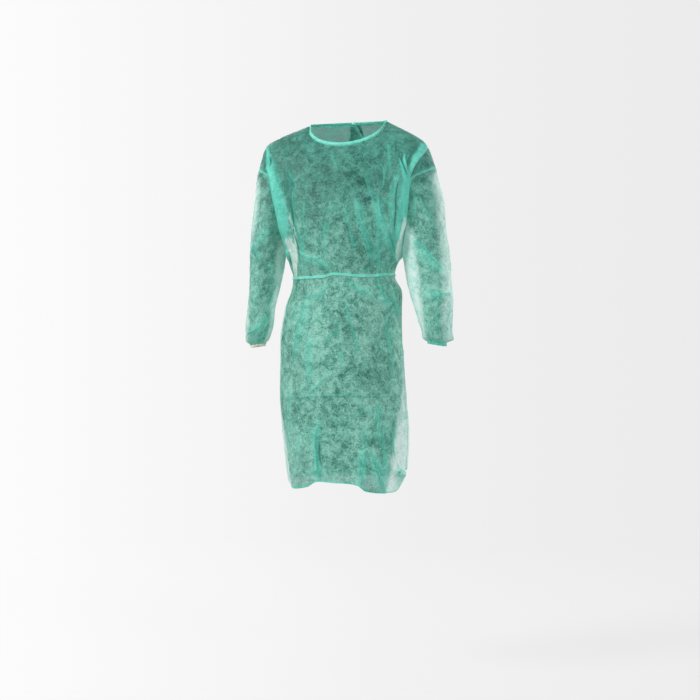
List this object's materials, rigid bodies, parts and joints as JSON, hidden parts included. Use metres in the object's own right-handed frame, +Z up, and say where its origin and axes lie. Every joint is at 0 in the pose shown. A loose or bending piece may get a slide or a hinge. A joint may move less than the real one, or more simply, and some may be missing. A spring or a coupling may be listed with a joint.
{
  "type": "surgical gown",
  "caption": "Surgical gown in its hollow worn form: plain front, open lapped back, tied neck binding and waist belt, long loose sleeves with elastic cuffs.",
  "frame": {"origin": "the middle of the neck opening at shoulder height, where the wearer's shoulders hold the gown up", "axes": "+Z up, -Y towards the gown's front, +X towards the wearer's left"},
  "size_m": [0.6158, 0.3278, 1.0773],
  "materials": {
    "cloth": "translucent non-woven, cloudy fibres, matt",
    "trim": "folded non-woven tape, matt",
    "elastic": "cream elastic, matt"
  },
  "bodies": {
    "root": {"front_panel_upper": "cloth", "front_panel_skirt": "cloth", "back_panel_left_upper": "cloth", "back_panel_left_skirt": "cloth", "back_panel_right_upper": "cloth", "back_panel_right_skirt": "cloth", "sleeve_left": "cloth", "sleeve_right": "cloth", "cuff_left": "trim", "cuff_right": "elastic", "neck_binding": "trim", "neck_knot": "trim", "neck_tail_left": "trim", "neck_tail_right": "trim", "waist_belt": "trim", "belt_knot": "trim", "belt_tail_left": "trim", "belt_tail_right": "trim"}
  },
  "joints": []
}
